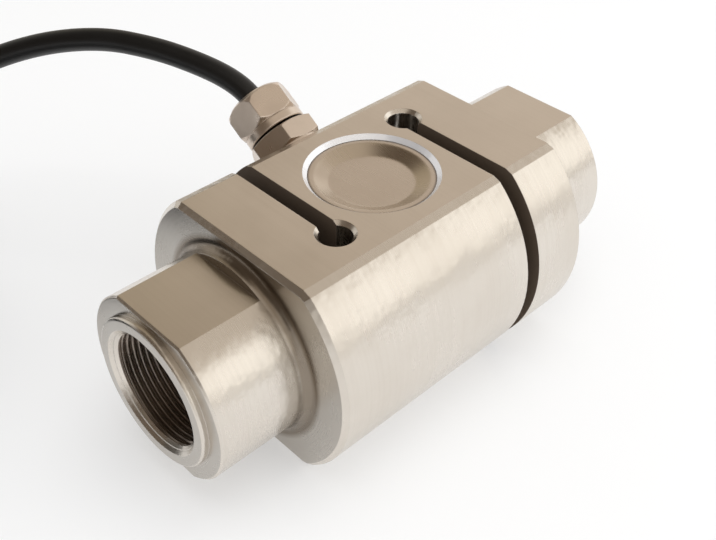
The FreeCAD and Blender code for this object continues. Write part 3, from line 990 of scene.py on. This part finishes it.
# each patch: the way to its middle, its colour, and the cosines at its rim and at its full tone
tentPatches = [
    ((0, 0, 1), (0.66, 0.59, 0.51), 0.56, 0.68),
    ((0.43, 0.66, 0.62), (0.54, 0.475, 0.37), 0.80, 0.95),
    ((0.72, 0.48, 0.50), (0.74, 0.67, 0.62), 0.86, 0.97),
    ((-0.15, 0.45, 0.88), (0.13, 0.10, 0.075), 0.84, 0.95),
]
lowPatches = [
    ((-0.85, 0.25, 0.36), (0.15, 0.118, 0.09), 0.68, 0.84),
    ((0.85, 0.52, 0.04), (1.02, 0.96, 0.90), 0.88, 0.97),
    ((0.50, 0.86, 0.06), (0.60, 0.53, 0.43), 0.93, 0.985),
]
brightBand = {
    "way": (0.6, -0.8, 0),
    "colour": (1.32, 1.29, 1.23),
    "bottom": 0.13,
    "top": 0.61,
    "softness": 0.05,
    "rim": 0.35,
    "full": 0.60,
}
horizonBand = {"colour": (0.70, 0.67, 0.63), "top": 0.12, "softness": 0.06}


def seenOrMirrored(tree):  # 1 for what the camera, a gloss or a clear piece looks at
    rays = addNode(tree, "ShaderNodeLightPath")
    through = mathNode(tree, "MAXIMUM", rays.outputs["Is Glossy Ray"], rays.outputs["Is Transmission Ray"])
    return mathNode(tree, "MAXIMUM", rays.outputs["Is Camera Ray"], through)


def addFloor():
    place = (0, 0, -studio["floorDrop"])
    floor = addShape("plane", "studioFloor", size=studio["floorSize"], location=place)
    material, tree, shader = newMaterial("paleFloor")
    shader.inputs["Base Color"].default_value = studio["floorColour"]
    shader.inputs["Roughness"].default_value = studio["floorRoughness"]
    grain = addNode(tree, "ShaderNodeTexNoise", Scale=400, Detail=2)
    addRelief(tree, shader, grain.outputs["Fac"], 0.05, 0.0002)
    glow = addNode(tree, "ShaderNodeEmission", Color=(1, 1, 1, 1), Strength=1)
    blend = addNode(tree, "ShaderNodeMixShader")
    joinNodes(
        tree,
        (mathNode(tree, "MULTIPLY", seenOrMirrored(tree), studio["floorGlow"]), blend.inputs[0]),
        (shader.outputs[0], blend.inputs[1]),
        (glow.outputs[0], blend.inputs[2]),
        (blend.outputs[0], tree.nodes["Material Output"].inputs["Surface"]),
    )
    floor.data.materials.append(material)


def addWorld():
    world = bpy.data.worlds.new("studioAir")
    world.use_nodes = True
    bpy.context.scene.world = world
    tree = world.node_tree
    air = tree.nodes["Background"]
    air.inputs["Color"].default_value = (1, 1, 1, 1)
    tree.links.new(mixValue(tree, seenOrMirrored(tree), studio["air"], 1.0), air.inputs["Strength"])


def addLamp(name, place, target, width, height, power):
    deselectAll()
    bpy.ops.object.light_add(type="AREA")
    lamp = bpy.context.object
    lamp.name = name
    lamp.data.shape = "RECTANGLE"
    lamp.data.size = width
    lamp.data.size_y = height
    lamp.data.energy = power
    lamp.visible_glossy = False
    lamp.location = place
    lamp.rotation_euler = (Vector(target) - Vector(place)).to_track_quat("-Z", "Y").to_euler()


def towards(tree, way, direction, rim, full):  # a soft round field about one direction
    dot = addNode(tree, "ShaderNodeVectorMath", operation="DOT_PRODUCT")
    dot.inputs[1].default_value = Vector(direction).normalized()
    tree.links.new(way, dot.inputs[0])
    mask = addNode(tree, "ShaderNodeMapRange", interpolation_type="SMOOTHSTEP")
    for label, value in (("Value", dot.outputs["Value"]), ("From Min", rim), ("From Max", full)):
        feed(tree, mask.inputs[label], value)
    return mask.outputs["Result"]


def addTent():  # soft pale and dark fields round the set, which only the metal mirrors
    shell = addShape("uv_sphere", "studioTent", segments=64, ring_count=32, radius=tent["radius"])
    shell.visible_camera = False
    shell.visible_shadow = False
    shell.visible_diffuse = False
    material, tree, shader = newMaterial("tentFields")
    outwards = addNode(tree, "ShaderNodeVectorMath", operation="NORMALIZE")
    tree.links.new(placeOnPiece(tree), outwards.inputs[0])
    way = outwards.outputs[0]
    height = splitAxes(tree, way)[2]

    tone = tent["base"]
    for direction, colour, rim, full in tentPatches:
        tone = mixColour(tree, towards(tree, way, direction, rim, full), tone, colour)
    soft = brightBand["softness"]
    inBand = overlap(
        tree,
        rampMask(tree, height, brightBand["bottom"] - soft, brightBand["bottom"] + soft),
        rampMask(tree, height, brightBand["top"] + soft, brightBand["top"] - soft),
        towards(tree, way, brightBand["way"], brightBand["rim"], brightBand["full"]),
    )
    tone = mixColour(tree, inBand, tone, brightBand["colour"])
    soft = horizonBand["softness"]
    low = rampMask(tree, height, horizonBand["top"] + soft, horizonBand["top"] - soft)
    tone = mixColour(tree, low, tone, horizonBand["colour"])
    for direction, colour, rim, full in lowPatches:
        tone = mixColour(tree, towards(tree, way, direction, rim, full), tone, colour)
    glow = addNode(tree, "ShaderNodeEmission", Strength=1)
    joinNodes(
        tree,
        (tone, glow.inputs["Color"]),
        (glow.outputs[0], tree.nodes["Material Output"].inputs["Surface"]),
    )
    shell.data.materials.append(material)


addFloor()
addWorld()
addTent()
addLamp("topSoftbox", (0.1, -0.1, 1.5), (0, 0, 0), 1.2, 1.2, 9)
addLamp("frontSoftbox", (0.72, -0.98, 0.62), (0, 0, 0.03), 1.7, 0.5, 7.8)
bpy.context.scene.view_settings.view_transform = "Standard"
print("studio lit")


bpy.context.view_layer.update()
